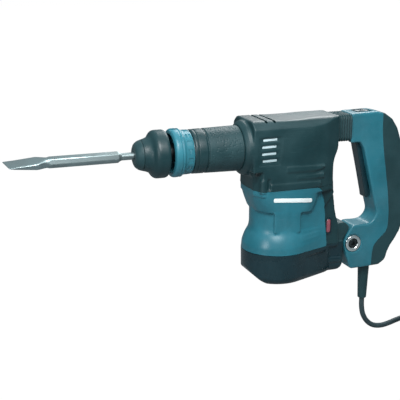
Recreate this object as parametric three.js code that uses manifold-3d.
// Electric jackhammer with a quick-release chuck, a vertical motor and a sprung rear handle.
// Millimetres, +Z up, the chisel points along -X. The exported group's origin is on the tool axis
// inside the barrel grip. The pieces are drawn in the bench frame: x = 0 on the motor's
// axis, y = 0 in the middle plane and z = 0 at the underside of the base cap.
import * as THREE from 'three';
import { mergeVertices } from 'three/addons/utils/BufferGeometryUtils.js';
import Module from 'manifold-3d';

const wasm = await Module();
wasm.setup();

// ---- Driving dimensions ----
const GAP = 0.3; // between pieces that touch
const AXIS_Z = 195.5; // height of the tool axis
const GRIP_X = -86; // middle of the barrel grip
const CAP_TOP = 45; // seam between base cap and motor housing
const SEAM_Z = 138; // seam between motor housing and top casing
const STEP_Z = 165; // the casing's front narrows below this height
const CASING_END = 84.2; // rear face of the casing's upper arm
const ARM_X = 108.5; // front face of the handle's upper arm
const BODY_HALF = 38.5; // half-width of the casings
const CAP_RADIUS = 50.3;
const MOTOR_RADIUS = 38.8;
const MOTOR_BORE = 35.3;
const HANDLE_HALF = 17.8;
const RUBBER_HALF = 19;
const PIVOT = { x: 120, z: 40 }; // lower handle joint
const GUARD = { x: 150, top: 12, end: -56, r: 8.8, tip: 6.6, bore: 4.3 };
const SHANK_R = 5;
const BLADE_TWIST = THREE.MathUtils.degToRad(18);
const CRANK = { x: 31.5, throw: 11, pinR: 5, discR: 19 };
const ROD_LENGTH = 55;
const GEAR = { module: 1, teeth: 54, pinionTeeth: 9, low: 160, high: 173, backlash: 0.22 };
const SHAFT_R = 4;
const PISTON_R = 13.7;
const CYLINDER_BORE = 14;
const CYLINDER_R = 17;
const CORD_R = 4;
const FLOOR_Z = -116; // surface that the free cord lies on
const COIL = { x: 300, y: -22, mid: 46, halfWidth: 17.5, low: FLOOR_Z + 1.8, height: 28 };

// ---- Materials ----
const finish = (color, roughness, metalness = 0) =>
  new THREE.MeshStandardMaterial({ color, roughness, metalness });
const TEAL = finish(0x377687, 0.45);
const LIGHT_TEAL = finish(0x4f98ab, 0.4);
const BLACK = finish(0x33464b, 0.6);
const RUBBER = finish(0x2f3d41, 0.85);
const STEEL = finish(0x9aa5a8, 0.35, 1);
const BRIGHT = finish(0xd0d6d6, 0.25, 1);
const DARK_STEEL = finish(0x4a4f52, 0.4, 1);
const ALUMINIUM = finish(0xb9c0c2, 0.5, 1);
const COPPER = finish(0xb87333, 0.4, 1);
const CARBON = finish(0x26282a, 0.7);
const NYLON = finish(0xb9b29a, 0.6);
const RED_LENS = finish(0xa2404c, 0.25);

// ---- Solids ----
/** Signed volume of an indexed geometry, negative where its faces point in. */
function signedVolume(position, index) {
  const [a, b, c] = [new THREE.Vector3(), new THREE.Vector3(), new THREE.Vector3()];
  let sum = 0;
  for (let i = 0; i < index.length; i += 3) {
    a.fromBufferAttribute(position, index[i]);
    b.fromBufferAttribute(position, index[i + 1]);
    c.fromBufferAttribute(position, index[i + 2]);
    sum += a.dot(b.cross(c)) / 6;
  }
  return sum;
}

/** A closed geometry as a solid, with its vertices merged and its faces turned out. */
function solid(geometry) {
  geometry.deleteAttribute('normal');
  geometry.deleteAttribute('uv');
  const welded = mergeVertices(geometry, 1e-4);
  const source = welded.index.array;
  const kept = [];
  for (let i = 0; i < source.length; i += 3) {
    const [a, b, c] = [source[i], source[i + 1], source[i + 2]];
    if (a !== b && b !== c && a !== c) kept.push(a, b, c);
  }
  if (signedVolume(welded.attributes.position, kept) < 0) kept.reverse();
  const vertProperties = new Float32Array(welded.attributes.position.array);
  const triVerts = new Uint32Array(kept);
  return new wasm.Manifold(new wasm.Mesh({ numProp: 3, vertProperties, triVerts }));
}

/** A solid back as a geometry for a mesh. */
function geometryOf(body) {
  const mesh = body.getMesh();
  const geometry = new THREE.BufferGeometry();
  geometry.setAttribute('position', new THREE.BufferAttribute(mesh.vertProperties, 3));
  geometry.setIndex(new THREE.BufferAttribute(mesh.triVerts, 1));
  geometry.computeVertexNormals();
  return geometry;
}

const join = (...bodies) => bodies.reduce((whole, body) => whole.add(body));
const cut = (body, ...tools) => tools.reduce((rest, tool) => rest.subtract(tool), body);

/** Lathe along Z from [z, r] pairs that start and end on the axis or close on themselves. */
function latheZ(profile, segments = 24, x = 0, y = 0) {
  const points = profile.map(([z, r]) => new THREE.Vector2(r, z));
  return solid(new THREE.LatheGeometry(points, segments).rotateX(Math.PI / 2).translate(x, y, 0));
}

/** Lathe along X from [x, r] pairs, about the line at the given height. */
function latheX(profile, segments = 24, z = 0) {
  const points = profile.map(([x, r]) => new THREE.Vector2(r, x));
  return solid(new THREE.LatheGeometry(points, segments).rotateZ(-Math.PI / 2).translate(0, 0, z));
}

const ring = (low, high, outer, inner) => [
  [low, inner], [low, outer], [high, outer], [high, inner], [low, inner],
];
const drum = (low, high, r) => [[low, 0], [low, r], [high, r], [high, 0]];
const drumY = (x, z, low, high, r, segments = 20) =>
  solid(new THREE.CylinderGeometry(r, r, high - low, segments).translate(x, (low + high) / 2, z));

/** Box between two limits on each axis. */
function block([x0, x1], [y0, y1], [z0, z1]) {
  const box = new THREE.BoxGeometry(x1 - x0, y1 - y0, z1 - z0);
  return solid(box.translate((x0 + x1) / 2, (y0 + y1) / 2, (z0 + z1) / 2));
}

/** Closed outline from [u, v] points; a third number rounds that corner. */
function outline(points) {
  const shape = new THREE.Shape();
  const count = points.length;
  points.forEach(([u, v, r = 0], i) => {
    const corner = new THREE.Vector2(u, v);
    const near = ([pu, pv]) => {
      const way = new THREE.Vector2(pu, pv).sub(corner);
      return corner.clone().add(way.setLength(Math.min(r, way.length() * 0.45)));
    };
    const from = near(points[(i + count - 1) % count]);
    const to = near(points[(i + 1) % count]);
    if (i === 0) shape.moveTo(from.x, from.y);
    else shape.lineTo(from.x, from.y);
    if (r > 0) shape.quadraticCurveTo(u, v, to.x, to.y);
  });
  shape.closePath();
  return shape;
}

/** Extrusion of a shape whose own axes and depth lie along the three given directions. */
function slab(shape, depth, basis, offset, curveSegments) {
  const geometry = new THREE.ExtrudeGeometry(shape, { depth, bevelEnabled: false, curveSegments });
  geometry.applyMatrix4(new THREE.Matrix4().makeBasis(...basis));
  return solid(geometry.translate(...offset));
}
const [X, Y, Z] = [new THREE.Vector3(1, 0, 0), new THREE.Vector3(0, 1, 0), new THREE.Vector3(0, 0, 1)];
const sideSlab = (shape, low, high, curveSegments = 3) =>
  slab(shape, high - low, [X, Z, Y.clone().negate()], [0, high, 0], curveSegments);
const planSlab = (shape, low, high, curveSegments = 3) =>
  slab(shape, high - low, [X, Y, Z], [0, 0, low], curveSegments);
const frontSlab = (shape, low, high, curveSegments = 3) =>
  slab(shape, high - low, [Y, Z, X], [low, 0, 0], curveSegments);

/** Round wire along a curve. */
function wire(curve, radius, steps, sides) {
  const section = new THREE.Shape();
  for (let i = 0; i < sides; i += 1) {
    const turn = (2 * Math.PI * i) / sides;
    const point = [radius * Math.cos(turn), radius * Math.sin(turn)];
    if (i === 0) section.moveTo(...point);
    else section.lineTo(...point);
  }
  section.closePath();
  return solid(new THREE.ExtrudeGeometry(section, { steps, extrudePath: curve, bevelEnabled: false }));
}

/** Helix about a line along X. */
class Helix extends THREE.Curve {
  constructor(low, high, radius, turns, z) {
    super();
    Object.assign(this, { low, high, radius, turns, z });
  }

  getPoint(t, target = new THREE.Vector3()) {
    const turn = 2 * Math.PI * this.turns * t;
    const x = THREE.MathUtils.lerp(this.low, this.high, t);
    return target.set(x, this.radius * Math.cos(turn), this.z + this.radius * Math.sin(turn));
  }
}

// ---- Gears ----
const PRESSURE = THREE.MathUtils.degToRad(20);
const involute = (angle) => Math.tan(angle) - angle;

/** Spur gear outline with involute flanks; the first tooth points along +X, turned by phase. */
function gearShape(teeth, tip, root, phase, centre) {
  const pitch = (GEAR.module * teeth) / 2;
  const base = pitch * Math.cos(PRESSURE);
  const halfAtPitch = Math.PI / (2 * teeth) - GEAR.backlash / (2 * pitch);
  const halfAt = (r) =>
    halfAtPitch + involute(PRESSURE) - involute(Math.acos(Math.min(1, base / Math.max(r, base))));
  const start = Math.max(root, base);
  const radii = [root, start, (start + tip) / 2, tip].filter((r, i, all) => i === 0 || r > all[i - 1]);
  const shape = new THREE.Shape();
  for (let tooth = 0; tooth < teeth; tooth += 1) {
    const middle = phase + (2 * Math.PI * tooth) / teeth;
    const flank = radii.map((r) => [r, halfAt(r)]);
    const rise = flank.map(([r, half]) => [r, middle - half]);
    const fall = flank.map(([r, half]) => [r, middle + half]).reverse();
    [...rise, ...fall].forEach(([r, turn], i) => {
      const point = [centre + r * Math.cos(turn), r * Math.sin(turn)];
      if (tooth === 0 && i === 0) shape.moveTo(...point);
      else shape.lineTo(...point);
    });
  }
  shape.closePath();
  return shape;
}

// ---- Groups ----
const jackhammer = new THREE.Group();
jackhammer.position.set(-GRIP_X, 0, -AXIS_Z);
const toolLine = new THREE.Group(); // pieces drawn about the tool axis
toolLine.position.z = AXIS_Z;
const bitLine = new THREE.Group(); // pieces that share the chisel's angle
bitLine.rotation.x = BLADE_TWIST;
toolLine.add(bitLine);
jackhammer.add(toolLine);

function piece(group, name, body, material) {
  const mesh = new THREE.Mesh(geometryOf(body), material);
  mesh.name = name;
  group.add(mesh);
}

// ---- Chisel and chuck ----
function makeChisel() {
  const bladeFar = -385;
  const bladeNear = -378;
  const shoulder = -341;
  const forge = -326;
  const hexEnd = -233;
  const neck = -229;
  const shankEnd = -144;
  const hexRadius = 7 / Math.cos(Math.PI / 6);
  const hexagon = solid(
    new THREE.CylinderGeometry(hexRadius, hexRadius, hexEnd - forge, 6).rotateZ(Math.PI / 2),
  ).translate([(hexEnd + forge) / 2, 0, 0]);
  const shank = latheX([[hexEnd - 1, 0], [hexEnd - 1, 7], [neck, SHANK_R],
    [shankEnd - 1.5, SHANK_R], [shankEnd, SHANK_R - 1.5], [shankEnd, 0]], 20);
  const width = outline([[forge + 2, -6.5], [shoulder, -10, 4], [bladeNear, -10],
    [bladeFar, 10], [shoulder, 10, 4], [forge + 2, 6.5]]);
  const thickness = outline([[forge + 2, -6.5], [shoulder - 4, -4.4, 8], [bladeNear, -0.5],
    [bladeFar, -0.4], [bladeFar, 0.4], [bladeNear, 0.5], [shoulder - 4, 4.4, 8], [forge + 2, 6.5]]);
  const blade = planSlab(width, -8, 8).intersect(sideSlab(thickness, -11, 11));
  const ballPocket = latheX([[-192.7, 0], [-191.6, 2.6], [-189, 3.7], [-183, 3.7],
    [-180.4, 2.6], [-179.3, 0]], 12, 6.8);
  const openGroove = block([-200, shankEnd + 1], [-1.6, 1.6], [-6, -3.2]);
  piece(bitLine, 'chisel', cut(join(hexagon, shank, blade), ballPocket, openGroove), STEEL);
}

function makeChuck() {
  const holderFront = -206;
  const holderStep = -138;
  const holderRear = -112;
  const holderR = 12.5;
  const bore = SHANK_R + GAP;
  const holder = latheX([[holderFront, bore], [holderFront, holderR], [-121, holderR],
    [-121, 18.9], [holderRear, 18.9], [holderRear, 9.3], [holderStep, 9.3], [holderStep, bore],
    [holderFront, bore]], 24);
  const ballHole = solid(new THREE.CylinderGeometry(3.7, 3.7, 14, 14).rotateX(Math.PI / 2));
  piece(bitLine, 'tool_holder', cut(holder, ballHole.translate([-183, 0, 10])), DARK_STEEL);
  const ball = solid(new THREE.SphereGeometry(3.4, 12, 8).translate(-183, 0, 6.8));
  piece(bitLine, 'locking_ball', ball, BRIGHT);
  piece(toolLine, 'nose_cap', latheX([[-212, 5.6], [-212, 13], [-210.4, 16.4], [-206.5, 19.6],
    [-202, 21], [-202, 12.8], [-206.3, 12.8], [-206.3, 5.6], [-212, 5.6]], 28), RUBBER);
  piece(toolLine, 'chuck_cover', latheX([[-201.7, 13], [-201.7, 21], [-190, 25], [-187, 31],
    [-184, 33], [-170, 33], [-168.3, 31.5], [-168.3, 17.5], [-197, 17.5], [-197, 13],
    [-201.7, 13]], 32), BLACK);
  piece(toolLine, 'chuck_spring', wire(new Helix(-191, -171, 15, 4, 0), 0.9, 40, 5), STEEL);
  piece(toolLine, 'change_ring', latheX([[-162, 27], [-162, 29.4], [-160, 33.4], [-148.5, 33.4],
    [-147, 30.7], [-134.3, 30.5], [-134.3, 27.6], [-146, 27.6], [-146, 13], [-150, 13],
    [-150, 27], [-162, 27]], 32), LIGHT_TEAL);
  piece(toolLine, 'holder_bush', latheX(ring(-133.7, -121.3, 19, 12.9)), DARK_STEEL);
}

function makeBarrel() {
  piece(toolLine, 'barrel_housing', latheX([[-134, 19.3], [-134, 27.3], [-46.3, 27.3],
    [-46.3, CYLINDER_R + GAP], [-111, CYLINDER_R + GAP], [-111, 19.3], [-134, 19.3]], 32), ALUMINIUM);
  piece(toolLine, 'barrel_collar', latheX(ring(-131.5, -113.3, 30.7, 27.6), 32), BLACK);
  piece(toolLine, 'barrel_grip', latheX([[-113, 27.6], [-113, 31], [-62.8, 32], [-62.8, 27.6],
    [-113, 27.6]], 32), RUBBER);
  piece(toolLine, 'cylinder', latheX(ring(-110.5, -2, CYLINDER_R, CYLINDER_BORE), 28), STEEL);
}

// ---- Hammer mechanism ----
function makeHammer() {
  piece(toolLine, 'impact_bolt', latheX([[-133.6, 0], [-133.6, 7.5], [-132, 9], [-117, 9],
    [-115, 6.5], [-104, 6.5], [-104, 0]], 20), STEEL);
  piece(toolLine, 'striker', latheX([[-103.6, 0], [-103.6, 6], [-99, 6], [-98, PISTON_R],
    [-74, PISTON_R], [-74, 0]], 24), STEEL);
  const pinX = CRANK.x + CRANK.throw;
  const wristX = pinX - ROD_LENGTH;
  const rodLow = AXIS_Z - 4.5;
  const rodHigh = AXIS_Z + 4.5;
  const wristBore = latheZ(drum(AXIS_Z - 15, AXIS_Z + 15, 4.3), 16, wristX);
  const pocket = block([wristX - 8.5, -3], [-9, 9], [rodLow - 0.8, rodHigh + 0.8]);
  piece(jackhammer, 'piston', cut(latheX(drum(-30, -4, PISTON_R), 24, AXIS_Z), pocket, wristBore),
    ALUMINIUM);
  piece(jackhammer, 'piston_pin', latheZ(drum(AXIS_Z - 11, AXIS_Z + 11, 4), 16, wristX), STEEL);
  const rod = join(
    latheZ(drum(rodLow, rodHigh, 7.2), 20, wristX),
    latheZ(drum(rodLow, rodHigh, 9), 20, pinX),
    block([wristX, pinX], [-4.5, 4.5], [rodLow, rodHigh]),
  );
  piece(jackhammer, 'connecting_rod', cut(rod,
    latheZ(drum(rodLow - 1, rodHigh + 1, 4.3), 16, wristX),
    latheZ(drum(rodLow - 1, rodHigh + 1, CRANK.pinR + GAP), 16, pinX)), ALUMINIUM);
  const discTop = 180;
  piece(jackhammer, 'crank_pin', latheZ(drum(discTop + GAP, 203, CRANK.pinR), 16, pinX), STEEL);
  piece(jackhammer, 'crank_shaft', latheZ([[142, 0], [142, 6], [GEAR.high + GAP, 6],
    [GEAR.high + GAP, CRANK.discR], [discTop, CRANK.discR], [discTop, 0]], 24, CRANK.x), DARK_STEEL);
  piece(jackhammer, 'crank_bearing', latheZ(ring(141, 152, 13, 6.3), 24, CRANK.x), BRIGHT);
}

function makeGears() {
  const pitch = (GEAR.module * GEAR.teeth) / 2;
  const pinionPitch = (GEAR.module * GEAR.pinionTeeth) / 2;
  const gap = Math.PI / GEAR.pinionTeeth; // the pinion shows a gap where the gear shows a tooth
  const wheel = gearShape(GEAR.teeth, pitch + 0.5, pitch - 1.4, Math.PI, CRANK.x);
  piece(jackhammer, 'crank_gear', cut(planSlab(wheel, GEAR.low, GEAR.high),
    latheZ(drum(GEAR.low - 1, GEAR.high + 1, 6 + GAP), 20, CRANK.x)), DARK_STEEL);
  const pinion = planSlab(gearShape(GEAR.pinionTeeth, pinionPitch + 0.9, pinionPitch - 0.8, gap, 0),
    GEAR.low - 1, GEAR.high + 1);
  const shaft = latheZ([[22, 0], [22, SHAFT_R], [39, SHAFT_R], [39, 12.5], [56, 12.5], [56, 9],
    [64, 9], [64, 20], [110, 20], [110, 8], [113, 8], [113, SHAFT_R], [154, SHAFT_R],
    [GEAR.low - 0.5, 3], [GEAR.low - 0.5, 0]], 28);
  piece(jackhammer, 'armature', join(shaft, pinion), COPPER);
}

// ---- Motor ----
function makeMotor() {
  const blades = [];
  const bladeCount = 10;
  for (let i = 0; i < bladeCount; i += 1) {
    const blade = block([8, 30], [-0.8, 0.8], [118, 127]);
    blades.push(blade.rotate([0, 0, (360 * i) / bladeCount]));
  }
  const hub = latheZ([[117, 4.3], [117, 31], [119, 31], [119, 9], [127, 9], [127, 4.3],
    [117, 4.3]], 30);
  piece(jackhammer, 'cooling_fan', cut(join(hub, ...blades), latheZ(drum(116, 128, 4.3), 24)), NYLON);
  piece(jackhammer, 'field', latheZ(ring(64, 112, 34.9, 20.8), 28), DARK_STEEL);
  piece(jackhammer, 'lower_bearing', latheZ(ring(25, 33, 11, 4.3)), BRIGHT);
  piece(jackhammer, 'upper_bearing', latheZ(ring(140.5, 149, 11, 4.3)), BRIGHT);
  for (const [side, name] of [[-1, 'left'], [1, 'right']]) {
    const span = (near, far) => (side < 0 ? [-far, -near] : [near, far]);
    const holder = cut(block([-5, 5], span(15, 33), [42.5, 52.5]),
      block([-3.6, 3.6], span(14, 34), [44.6, 50.4]));
    piece(jackhammer, `brush_holder_${name}`, holder, NYLON);
    piece(jackhammer, `brush_${name}`, block([-3.2, 3.2], span(12.9, 26), [45, 50]), CARBON);
  }
}

// ---- Casings ----
function makeGearHousing() {
  const wall = 2.7;
  const half = 31;
  const plan = (inset, front) => outline([[front, -half + inset], [48 - inset / 2, -half + inset],
    [62.5 - inset, -16.5 + inset / 2], [62.5 - inset, 16.5 - inset / 2],
    [48 - inset / 2, half - inset], [front, half - inset]]);
  const shell = planSlab(plan(0, -46), SEAM_Z + 1.5, 217.5);
  const lowFront = outline([[-50, -40], [-33, -40], [-33, -half], [-40.5, -19], [-40.5, 19],
    [-33, half], [-33, 40], [-50, 40]]);
  piece(jackhammer, 'gear_housing', cut(shell,
    planSlab(lowFront, 130, STEP_Z + 4),
    planSlab(plan(wall, -9), GEAR.low - 2, 219),
    latheX(drum(-47, -8, CYLINDER_R + GAP), 28, AXIS_Z),
    latheZ(drum(140.7, 159, 13.3), 24, CRANK.x),
    latheZ(drum(138, 160, 9), 20, CRANK.x),
    latheZ(drum(138, 149.4, 11.3), 24),
    latheZ(drum(138, 176, 7), 16)), ALUMINIUM);
}

function makeTopCasing() {
  const side = outline([[-52, 236.7, 3], [CASING_END, 236.7], [CASING_END, 188.5],
    [75.5, 172, 6], [75.5, 150, 4], [77.5, SEAM_Z + GAP], [-46, SEAM_Z + GAP],
    [-47, 158], [-52, STEP_Z]]);
  const plan = outline([[-52, -BODY_HALF, 4], [54, -BODY_HALF, 20], [CASING_END, -25],
    [CASING_END, 25], [54, BODY_HALF, 20], [-52, BODY_HALF, 4]]);
  const front = outline([[-BODY_HALF, 137], [-BODY_HALF, 222, 10], [-25, 236.8, 10],
    [25, 236.8, 10], [BODY_HALF, 222, 10], [BODY_HALF, 137]]);
  const upperBlock = sideSlab(side, -40, 40)
    .intersect(planSlab(plan, 130, 240))
    .intersect(frontSlab(front, -64, 96));
  const neck = latheX([[-62.5, 0], [-62.5, 32.8], [-57.5, 38.2], [-45, 38.4], [-45, 0]], 40, AXIS_Z);
  const lowCorners = outline([[-70, -50], [-36, -50], [-36, -BODY_HALF - 0.1], [-46.5, -23],
    [-46.5, 23], [-36, BODY_HALF + 0.1], [-36, 50], [-70, 50]]);
  const outer = join(cut(upperBlock, planSlab(lowCorners, 130, STEP_Z)), neck);
  const room = (front, corner) => outline([[front, -corner], [-34, -34.6], [50, -34.6],
    [64.5, -24], [64.5, 24], [50, 34.6], [-34, 34.6], [front, corner]]);
  const cuts = [
    planSlab(room(-42, 21), 130, STEP_Z + 4),
    planSlab(room(-49, 34.5), STEP_Z + 3.5, 220),
    block([-48, 62], [-21, 21], [219, 232.5]),
    block([60, 96], [-15, 15], [203, 231]),
    latheX(drum(-64, -44.5, 27.7), 32, AXIS_Z),
  ];
  for (const span of [[-40, -33], [33, 40]]) cuts.push(block([-42, -9], span, [171, 217]));
  for (const x of [-30, -18]) cuts.push(block([x - 1.6, x + 1.6], [-29, 29], [229, 239]));
  piece(jackhammer, 'top_casing', cut(outer, ...cuts), BLACK);
}

function makeVentGrilles() {
  const slotPitch = 9.8;
  const slotCount = 4;
  for (const [name, span] of [['left', [-38, -35]], ['right', [35, 38]]]) {
    const slots = [];
    for (let i = 0; i < slotCount; i += 1) {
      const z = 182 + slotPitch * i;
      slots.push(block([-39, -16], [span[0] - 1, span[1] + 1], [z - 1.8, z + 1.8]));
    }
    const plate = block([-42 + GAP, -9 - GAP], span, [171 + GAP, 217 - GAP]);
    piece(jackhammer, `vent_grille_${name}`, cut(plate, ...slots), BLACK);
  }
}

function makeMotorHousing() {
  const barrel = latheZ([[CAP_TOP + GAP, 0], [CAP_TOP + GAP, 49.6], [56, 49.2], [67, 45.4],
    [76, MOTOR_RADIUS], [SEAM_Z, MOTOR_RADIUS], [SEAM_Z, 0]], 36);
  const shoulder = (inset) => outline([[-46 + inset, -22, 5], [-36, -BODY_HALF + inset, 5],
    [52, -BODY_HALF + inset, 12], [54, 0], [52, BODY_HALF - inset, 12],
    [-36, BODY_HALF - inset, 5], [-46 + inset, 22, 5]]);
  const rear = outline([[0, CAP_TOP + GAP], [69, CAP_TOP + GAP], [69, 60], [67, 95], [63, 118],
    [57, SEAM_Z], [0, SEAM_Z]]);
  const tail = (radius, half, low, high) => planSlab(outline([[0, -radius], [radius * 0.36,
    -radius * 0.932], [72, -half], [72, half], [radius * 0.36, radius * 0.932], [0, radius]]),
  low, high).intersect(sideSlab(rear, -60, 60));
  const outer = join(barrel, planSlab(shoulder(6), 118, 127), planSlab(shoulder(0), 126, SEAM_Z),
    tail(MOTOR_RADIUS, 25, CAP_TOP + GAP, SEAM_Z), tail(45.4, 25.5, CAP_TOP + GAP, 66),
    tail(49.2, 26, CAP_TOP + GAP, 56));
  piece(jackhammer, 'motor_housing', cut(outer,
    latheZ(drum(40, 122, MOTOR_BORE), 36),
    planSlab(outline([[-42, -20], [-33, -34.6], [49, -34.6], [49, 34.6], [-33, 34.6], [-42, 20]]),
      121, 140),
    block([20, 51], [-22.5, 22.5], [40, 130])), TEAL);
}

/** Plan of the base cap: a round front that narrows to the handle joint. */
function capPlan(radius, tailHalf, endX) {
  const turn = 1.2;
  const shape = new THREE.Shape();
  shape.moveTo(endX, -tailHalf);
  shape.lineTo(endX, tailHalf);
  shape.lineTo(76, tailHalf + 4);
  shape.absarc(0, 0, radius, turn, -turn, false);
  shape.lineTo(76, -tailHalf - 4);
  shape.closePath();
  return shape;
}

function makeBaseCap() {
  const floor = 3;
  const outer = planSlab(capPlan(CAP_RADIUS, 18.5, 104), 6, CAP_TOP, 14);
  const sole = planSlab(capPlan(CAP_RADIUS - 5, 14, 100), 0, 7, 14);
  const chamfer = sideSlab(outline([[-31, -1], [-52, 20], [-52, 50], [106, 50], [106, -1]]), -60, 60);
  const inner = planSlab(capPlan(CAP_RADIUS - floor - 3, 15, 100.5), floor, CAP_TOP + 1, 14);
  const roof = sideSlab(outline([[-27, floor], [-48, 23], [-48, 50], [101, 50], [101, floor]]), -60, 60);
  const shell = join(outer, sole).intersect(chamfer);
  const seat = latheZ(ring(floor - 1, 34, 14.5, 11.3), 24);
  const slot = block([99, 106], [-8.4, 8.4], [28.6, CAP_TOP + 1]);
  piece(jackhammer, 'base_cap', join(cut(shell, inner.intersect(roof), slot), seat), BLACK);
}

function makeRearCover() {
  const front = [[69 + GAP, CAP_TOP + GAP], [69 + GAP, 60], [67 + GAP, 95], [63 + GAP, 118],
    [57 + GAP, SEAM_Z]];
  const back = [[77.5, SEAM_Z], [82, 119], [85, 98], [88, 85], [92.5, 73, 4], [92.5, CAP_TOP + GAP]];
  const room = outline([[50, 140], [74, 140], [79, 119], [82, 98], [88, 73], [89, 40], [50, 40]]);
  piece(jackhammer, 'rear_cover', cut(sideSlab(outline([...front, ...back]), -21, 21),
    sideSlab(room, -18, 18)), BLACK);
  piece(jackhammer, 'indicator_lamp', sideSlab(outline([[70.5, 62, 3], [78, 62, 3],
    [78, 84, 3], [70.5, 84, 3]]), -23.6, -21.3), RED_LENS);
  piece(jackhammer, 'dust_cover', sideSlab(outline([[92.8, 46], [102.5, 46], [107, 54, 2],
    [113.8, 65, 3], [106, 74.5, 4], [92.8, 73.5]]), -17, 17), RUBBER);
}

// ---- Rear handle ----
const HANDLE_SEAM = [[160, 214], [163, 184], [169, 149], [175, 112], [178, 80], [176, 56],
  [162, 41], [154, 28], [152, 3]];

function makeHandleBracket() {
  const arm = join(block([70, 114], [-8, 8], [29, 44.4]), drumY(PIVOT.x, PIVOT.z, -8, 8, 11));
  piece(jackhammer, 'handle_bracket', cut(arm, drumY(PIVOT.x, PIVOT.z, -9, 9, 6.3)), ALUMINIUM);
}

function makeHandle() {
  const profile = outline([[ARM_X, 236], [150, 236.5], [159, 233.5], ...HANDLE_SEAM, [150, 0.5],
    [117, 0.5, 3], [109, 22, 4], [105.3, 40, 6], [108, 52], [118.5, 68, 3], [148, 67.5, 10],
    [158, 81, 8], [152.5, 100], [141, 144], [131, 183, 8], [124, 193], [ARM_X, 194]]);
  const switchRoom = outline([[146, 190.5], [160, 190.5], [166, 149.5], [152.5, 149.5]]);
  const triggerRoom = outline([[108, 197], [142, 197], [150.5, 150], [155, 112], [150, 102],
    [130, 102]]);
  const pivotHole = (side) => [
    drumY(PIVOT.x, PIVOT.z, Math.min(0, 13.4 * side), Math.max(0, 13.4 * side), 6.3),
    drumY(PIVOT.x, PIVOT.z, Math.min(13 * side, 20 * side), Math.max(13 * side, 20 * side), 13),
  ];
  for (const [side, name] of [[-1, 'left'], [1, 'right']]) {
    const span = side < 0 ? [-HANDLE_HALF, -GAP / 2] : [GAP / 2, HANDLE_HALF];
    piece(jackhammer, `handle_${name}`, cut(sideSlab(profile, ...span),
      block([100, 134], [-8.6, 8.6], [25, 55]),
      sideSlab(switchRoom, -8.5, 8.5),
      sideSlab(triggerRoom, -9.5, 9.5),
      latheZ(drum(-2, GUARD.top + 0.4, GUARD.r + GAP), 20, GUARD.x),
      block([120.8, 147.5], [-9.6, 9.6], [232, 240]),
      block([107, 120], [-13, 13], [204, 228]),
      ...pivotHole(side)), TEAL);
  }
  const rubber = outline([[160.3, 233.2], [166, 231, 4], [176, 223, 6], [185, 210], [191, 193],
    [198, 165], [203, 134], [206, 107], [206, 86], [203, 68], [198, 52], [191, 40], [183, 29],
    [179, 20], [176, 8, 4], [165, 1.5], [152.4, 2.9],
    ...HANDLE_SEAM.slice(0, -1).reverse().map(([x, z]) => [x + 0.4, z])]);
  piece(jackhammer, 'handle_rubber', cut(sideSlab(rubber, -RUBBER_HALF, RUBBER_HALF),
    latheZ(drum(-2, GUARD.top + 0.4, GUARD.r + GAP), 20, GUARD.x)), RUBBER);
}

function makeHandleParts() {
  piece(jackhammer, 'trigger', sideSlab(outline([[122, 192], [128, 168], [135.5, 137], [141.2, 114],
    [142.5, 106, 1.5], [147, 106, 2], [148, 114], [141.5, 150], [134, 192]]), -9, 9), BLACK);
  piece(jackhammer, 'switch_body', sideSlab(outline([[146.5, 190], [159.5, 190], [165.5, 150],
    [153, 150]]), -8, 8), NYLON);
  piece(jackhammer, 'switch_slide', block([121.5, 143], [-9, 9], [232.4, 238]), BLACK);
  piece(jackhammer, 'pivot_sleeve', drumY(PIVOT.x, PIVOT.z, -13, 13, 6), STEEL);
  for (const [side, name] of [[-1, 'left'], [1, 'right']]) {
    const span = (near, far) => (side < 0 ? [-far, -near] : [near, far]);
    const bush = cut(drumY(PIVOT.x, PIVOT.z, ...span(13.7, 19), 12.5, 28),
      drumY(PIVOT.x, PIVOT.z, ...span(13.4, 20), 6.3));
    piece(jackhammer, `pivot_bush_${name}`, bush, BRIGHT);
    piece(jackhammer, `pivot_screw_${name}`, drumY(PIVOT.x, PIVOT.z, ...span(13.3, 18), 6), DARK_STEEL);
  }
  const skin = (inset) => outline([[-21 + inset, 195.5 + inset, 5], [21 - inset, 195.5 + inset, 5],
    [21 - inset, 236 - inset, 5], [-21 + inset, 236 - inset, 5]]);
  piece(jackhammer, 'top_bellows', cut(frontSlab(skin(0), CASING_END + GAP, ARM_X - GAP),
    frontSlab(skin(3), CASING_END - 1, ARM_X + 1)),
    RUBBER);
  piece(jackhammer, 'damper_spring', wire(new Helix(88, 118, 9, 5, 216), 1.3, 50, 5), STEEL);
}

// ---- Cord ----
const CORD_ROUTE = [[150, 0, -30], [150, 0, -56], [150.6, 0, -72], [154, 0.3, -86],
  [162, 1, -98.5], [174, 2.5, -107.5], [190, 5, -111.6], [207, 9.5, -112], [224, 16, -112],
  [239, 21, -112], [251, 23.6, -112]];

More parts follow.
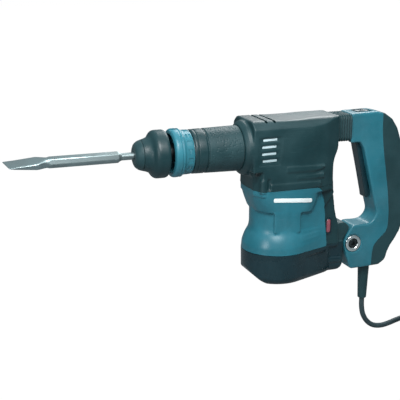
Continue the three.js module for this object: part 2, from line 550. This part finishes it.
function makeCord() {
  piece(jackhammer, 'cord_guard', latheZ([[GUARD.top, GUARD.bore], [GUARD.top, GUARD.r],
    [-2, GUARD.r], [GUARD.end, GUARD.tip], [GUARD.end, GUARD.bore], [GUARD.top, GUARD.bore]],
  20, GUARD.x), RUBBER);
  const route = new THREE.CatmullRomCurve3(CORD_ROUTE.map((p) => new THREE.Vector3(...p)));
  piece(jackhammer, 'cord', wire(route, CORD_R, 22, 8), RUBBER);
  const inner = COIL.mid - COIL.halfWidth;
  const outer = COIL.mid + COIL.halfWidth;
  const top = COIL.low + COIL.height;
  const edge = 6;
  piece(jackhammer, 'cord_coil', latheZ([[COIL.low, inner + edge], [COIL.low, outer - edge],
    [COIL.low + edge, outer], [top - edge, outer], [top, outer - edge], [top, inner + edge],
    [top - edge, inner], [COIL.low + edge, inner], [COIL.low, inner + edge]],
  36, COIL.x, COIL.y), RUBBER);
  const slack = 1; // the ring's inside curves towards the strap's edges
  const strap = (grow, half) => block([COIL.x + inner - slack - grow, COIL.x + outer + grow],
    [COIL.y - half, COIL.y + half], [COIL.low - grow, top + grow]);
  piece(jackhammer, 'coil_tie', cut(strap(1.8, 5), strap(GAP, 6)), CARBON);
  const plugY = COIL.y - COIL.mid;
  const plugLow = top + 0.4;
  const plugFace = 257; // the pins stand out of this face
  const bodyOutline = outline([[plugFace, plugY - 17], [plugFace + 6, plugY - 17, 6],
    [plugFace + 38, plugY - 9, 3], [plugFace + 38, plugY + 9, 3], [plugFace + 6, plugY + 17, 6],
    [plugFace, plugY + 17]]);
  const body = planSlab(bodyOutline, plugLow, plugLow + 16);
  const tail = latheX([[plugFace + 37, 0], [plugFace + 37, 6.4], [plugFace + 58, 4.6],
    [plugFace + 58, 0]], 12, plugLow + 8).translate([0, plugY, 0]);
  const pins = [-9.5, 9.5].map((y) =>
    latheX([[plugFace - 19, 0], [plugFace - 18, 2.4], [plugFace + 1, 2.4], [plugFace + 1, 0]], 12,
      plugLow + 8).translate([0, plugY + y, 0]));
  piece(jackhammer, 'plug', join(body, tail, ...pins), RUBBER);
}

makeChisel();
makeChuck();
makeBarrel();
makeHammer();
makeGears();
makeMotor();
makeGearHousing();
makeTopCasing();
makeVentGrilles();
makeMotorHousing();
makeBaseCap();
makeRearCover();
makeHandleBracket();
makeHandle();
makeHandleParts();
makeCord();

export default jackhammer;
